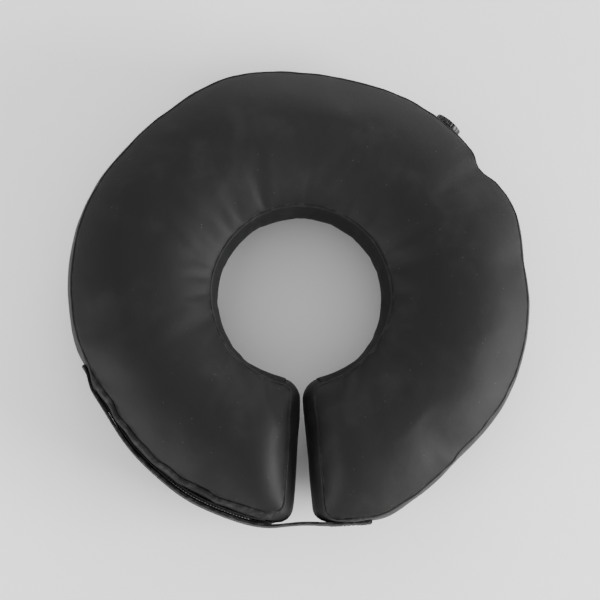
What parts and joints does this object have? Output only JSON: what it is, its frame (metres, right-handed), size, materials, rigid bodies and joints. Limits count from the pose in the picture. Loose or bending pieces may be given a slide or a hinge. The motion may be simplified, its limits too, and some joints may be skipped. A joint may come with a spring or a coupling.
{
  "type": "inflatable recovery collar",
  "caption": "Ring-shaped inflatable cloth collar with an open neck hole, a radial slit and a hook-and-loop strap across it.",
  "frame": {"origin": "middle of the neck hole, on the surface that the collar's back rests on", "axes": "+Z out of the front panel, -Y through the slit, +X to the right as seen from the front"},
  "size_m": [0.27, 0.2687, 0.064],
  "materials": {
    "jacket_cloth": "close-woven black nylon with a soft sheen",
    "neck_cloth": "the same black cloth, matt",
    "welt_cloth": "black cloth rolled over the seam",
    "strap_webbing": "flat black webbing",
    "loop_cloth": "brushed black loop tape",
    "hook_nylon": "black hook tape",
    "bladder_film": "grey vinyl film",
    "valve_plastic": "moulded black"
  },
  "bodies": {
    "root": {"front_panel": "jacket_cloth", "back_panel": "jacket_cloth", "rim_gusset": "jacket_cloth", "neck_band": "neck_cloth", "front_welt": "welt_cloth", "back_welt": "welt_cloth", "closure_strap": "strap_webbing", "loop_tape": "loop_cloth", "hook_tape": "hook_nylon", "bladder": "bladder_film", "valve": "valve_plastic"}
  },
  "joints": []
}
